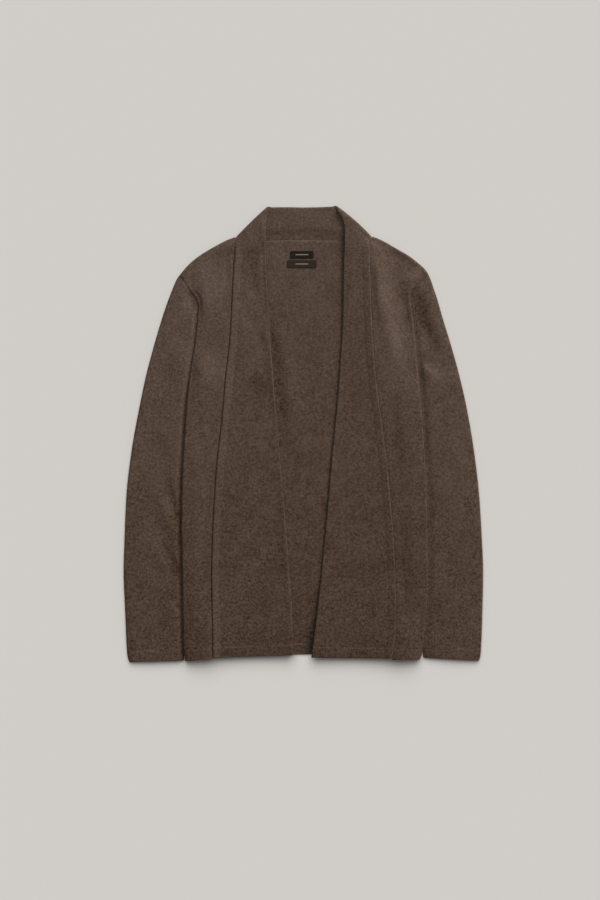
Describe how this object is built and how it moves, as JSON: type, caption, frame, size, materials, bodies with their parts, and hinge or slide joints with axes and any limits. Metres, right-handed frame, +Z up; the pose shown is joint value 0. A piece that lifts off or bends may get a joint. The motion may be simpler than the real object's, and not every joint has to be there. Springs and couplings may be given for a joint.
{
  "type": "shawl collar cardigan",
  "caption": "Open-front wool knit cardigan laid flat on its back, with a wide folded shawl collar band, long sleeves beside the body and woven labels in the neck.",
  "frame": {"origin": "middle of the bounding box on the surface that the garment lies on", "axes": "+Z up off that surface, +Y towards the collar, +X towards the wearer's left sleeve"},
  "size_m": [0.6175, 0.7836, 0.0127],
  "materials": {
    "back": "dark brown felted wool knit, matt",
    "front_left": "dark brown felted wool knit, matt",
    "front_right": "dark brown felted wool knit, matt",
    "band_left": "dark brown felted wool knit, matt",
    "band_right": "dark brown felted wool knit, matt",
    "sleeve_left": "dark brown felted wool knit, matt",
    "sleeve_right": "dark brown felted wool knit, matt",
    "label_upper": "dark brown woven satin",
    "label_lower": "dark brown woven satin"
  },
  "bodies": {
    "root": {"back": "back", "front_left": "front_left", "front_right": "front_right", "band_left": "band_left", "band_right": "band_right", "sleeve_left": "sleeve_left", "sleeve_right": "sleeve_right", "label_upper": "label_upper", "label_lower": "label_lower"}
  },
  "joints": []
}
